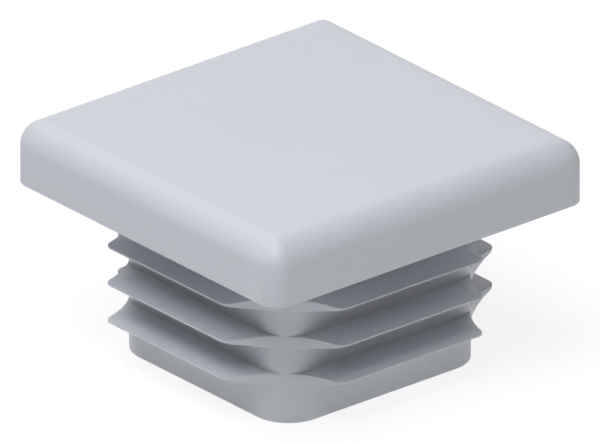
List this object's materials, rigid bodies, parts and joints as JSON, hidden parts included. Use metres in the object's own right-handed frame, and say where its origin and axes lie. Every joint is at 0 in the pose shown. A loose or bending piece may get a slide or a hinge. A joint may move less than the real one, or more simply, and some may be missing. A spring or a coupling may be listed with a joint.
{
  "type": "square tube end cap",
  "caption": "Push-in end cap for a square tube: a flat rounded-edge head that covers the tube's end, on a hollow plug with springy fins that grip the tube's inside.",
  "frame": {"origin": "centre of the head's underside, the plane that seats on the tube's end", "axes": "+Z out of the tube, through the head; X and Y square to the sides; the plug reaches down along -Z"},
  "size_m": [0.03, 0.03, 0.0179],
  "materials": {
    "plastic": "light bluish grey polyethylene, satin as moulded, with a very fine even grain"
  },
  "bodies": {
    "root": {"end_cap": "plastic"}
  },
  "joints": []
}
